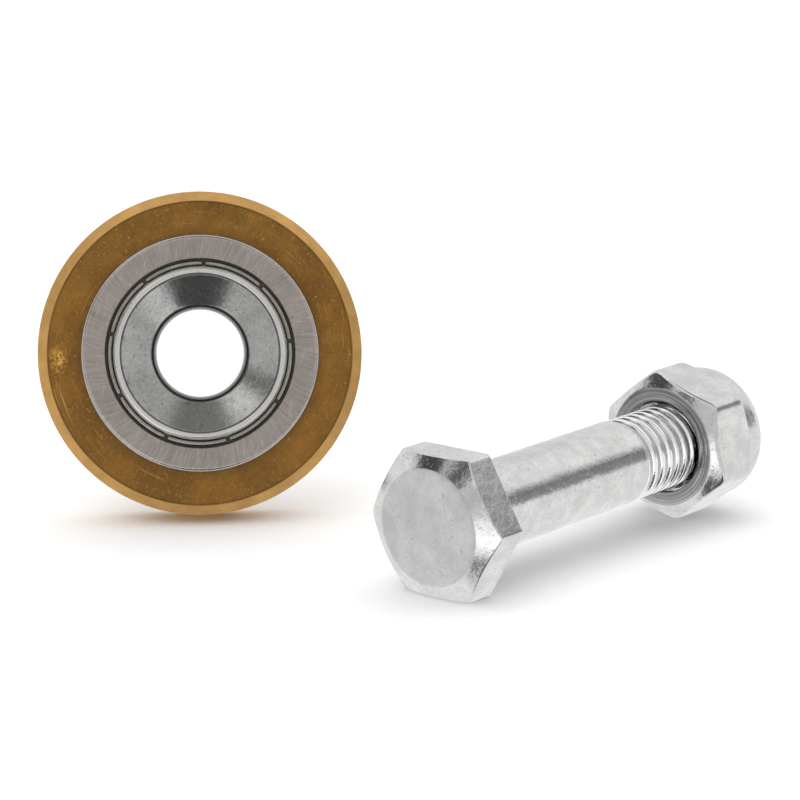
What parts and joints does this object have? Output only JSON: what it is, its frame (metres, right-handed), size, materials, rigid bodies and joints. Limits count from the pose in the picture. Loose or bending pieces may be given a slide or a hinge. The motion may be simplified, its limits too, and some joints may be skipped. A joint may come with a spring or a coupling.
{
  "type": "sliding door roller",
  "caption": "Brass sliding-door wheel on a shielded ball bearing with countersunk hub bushes, laid beside the hex bolt and locking nut that make its axle.",
  "frame": {"origin": "middle of the hub's bore, on the axle and on the bearing's middle plane", "axes": "+Z vertical, +X to the side across the wheel's face, towards the bolt and nut; the axle lies in the YZ plane, and its front end points along -Y, tilted up by 11.91 degrees"},
  "size_m": [0.086, 0.0525, 0.0388],
  "materials": {
    "brass": "turned and lightly brushed",
    "ring_steel": "ground",
    "shield_steel": "pressed sheet",
    "zinc_bush": "bright zinc plated",
    "cage_steel": "pressed sheet",
    "ball_steel": "polished",
    "zinc_fastener": "bright zinc plated",
    "nylon": "moulded"
  },
  "bodies": {
    "hub": {"bearing_inner_ring": "ring_steel", "front_cone_bush": "zinc_bush", "rear_cone_bush": "zinc_bush"},
    "wheel": {"brass_wheel": "brass", "bearing_outer_ring": "ring_steel", "front_shield": "shield_steel", "rear_shield": "shield_steel"},
    "cage": {"cage_front_half": "cage_steel", "cage_rear_half": "cage_steel", "cage_rivet_1": "cage_steel", "cage_rivet_2": "cage_steel", "cage_rivet_3": "cage_steel", "cage_rivet_4": "cage_steel", "cage_rivet_5": "cage_steel", "cage_rivet_6": "cage_steel", "cage_rivet_7": "cage_steel", "cage_rivet_8": "cage_steel"},
    "ball_1": {"ball_1": "ball_steel"},
    "ball_2": {"ball_2": "ball_steel"},
    "ball_3": {"ball_3": "ball_steel"},
    "ball_4": {"ball_4": "ball_steel"},
    "ball_5": {"ball_5": "ball_steel"},
    "ball_6": {"ball_6": "ball_steel"},
    "ball_7": {"ball_7": "ball_steel"},
    "ball_8": {"ball_8": "ball_steel"},
    "bolt": {"hex_bolt": "zinc_fastener"},
    "nut_carrier": {"nut_nylon_ring": "nylon"},
    "nut": {"nut_body": "zinc_fastener"}
  },
  "joints": [
    {"name": "wheel_spin", "type": "hinge", "parent": "hub", "child": "wheel", "pos_m": [0, 0, 0], "axis": [0, -0.9785, 0.2064], "continuous": true},
    {"name": "cage_spin", "type": "hinge", "parent": "hub", "child": "cage", "pos_m": [0, 0, 0], "axis": [0, -0.9785, 0.2064], "continuous": true},
    {"name": "ball_1_spin", "type": "hinge", "parent": "cage", "child": "ball_1", "pos_m": [0.00924, 0.00079, 0.00374], "axis": [0, -0.9785, 0.2064], "continuous": true},
    {"name": "ball_2_spin", "type": "hinge", "parent": "cage", "child": "ball_2", "pos_m": [0.00383, 0.00191, 0.00904], "axis": [0, -0.9785, 0.2064], "continuous": true},
    {"name": "ball_3_spin", "type": "hinge", "parent": "cage", "child": "ball_3", "pos_m": [-0.00383, 0.00191, 0.00904], "axis": [0, -0.9785, 0.2064], "continuous": true},
    {"name": "ball_4_spin", "type": "hinge", "parent": "cage", "child": "ball_4", "pos_m": [-0.00924, 0.00079, 0.00374], "axis": [0, -0.9785, 0.2064], "continuous": true},
    {"name": "ball_5_spin", "type": "hinge", "parent": "cage", "child": "ball_5", "pos_m": [-0.00924, -0.00079, -0.00374], "axis": [0, -0.9785, 0.2064], "continuous": true},
    {"name": "ball_6_spin", "type": "hinge", "parent": "cage", "child": "ball_6", "pos_m": [-0.00383, -0.00191, -0.00904], "axis": [0, -0.9785, 0.2064], "continuous": true},
    {"name": "ball_7_spin", "type": "hinge", "parent": "cage", "child": "ball_7", "pos_m": [0.00383, -0.00191, -0.00904], "axis": [0, -0.9785, 0.2064], "continuous": true},
    {"name": "ball_8_spin", "type": "hinge", "parent": "cage", "child": "ball_8", "pos_m": [0.00924, -0.00079, -0.00374], "axis": [0, -0.9785, 0.2064], "continuous": true},
    {"name": "bolt_lift", "type": "slide", "parent": "hub", "child": "bolt", "axis": [0, 0, 1], "range_m": [0, 0.06]},
    {"name": "nut_travel", "type": "slide", "parent": "bolt", "child": "nut_carrier", "axis": [0.6997, 0.714, 0.0261], "range_m": [-0.0075, 0.0105]},
    {"name": "nut_turn", "type": "hinge", "parent": "nut_carrier", "child": "nut", "pos_m": [0.0572, -0.00532, -0.01028], "axis": [0.6997, 0.714, 0.0261], "range_deg": [-1800, 2520]}
  ],
  "couplings": [
    {"joint": "cage_spin", "follows": "wheel_spin", "ratio": 0.619},
    {"joint": "ball_1_spin", "follows": "wheel_spin", "ratio": 1.9818},
    {"joint": "ball_2_spin", "follows": "wheel_spin", "ratio": 1.9818},
    {"joint": "ball_3_spin", "follows": "wheel_spin", "ratio": 1.9818},
    {"joint": "ball_4_spin", "follows": "wheel_spin", "ratio": 1.9818},
    {"joint": "ball_5_spin", "follows": "wheel_spin", "ratio": 1.9818},
    {"joint": "ball_6_spin", "follows": "wheel_spin", "ratio": 1.9818},
    {"joint": "ball_7_spin", "follows": "wheel_spin", "ratio": 1.9818},
    {"joint": "ball_8_spin", "follows": "wheel_spin", "ratio": 1.9818},
    {"joint": "nut_turn", "follows": "nut_travel", "rad_per_m": 4188.8}
  ]
}
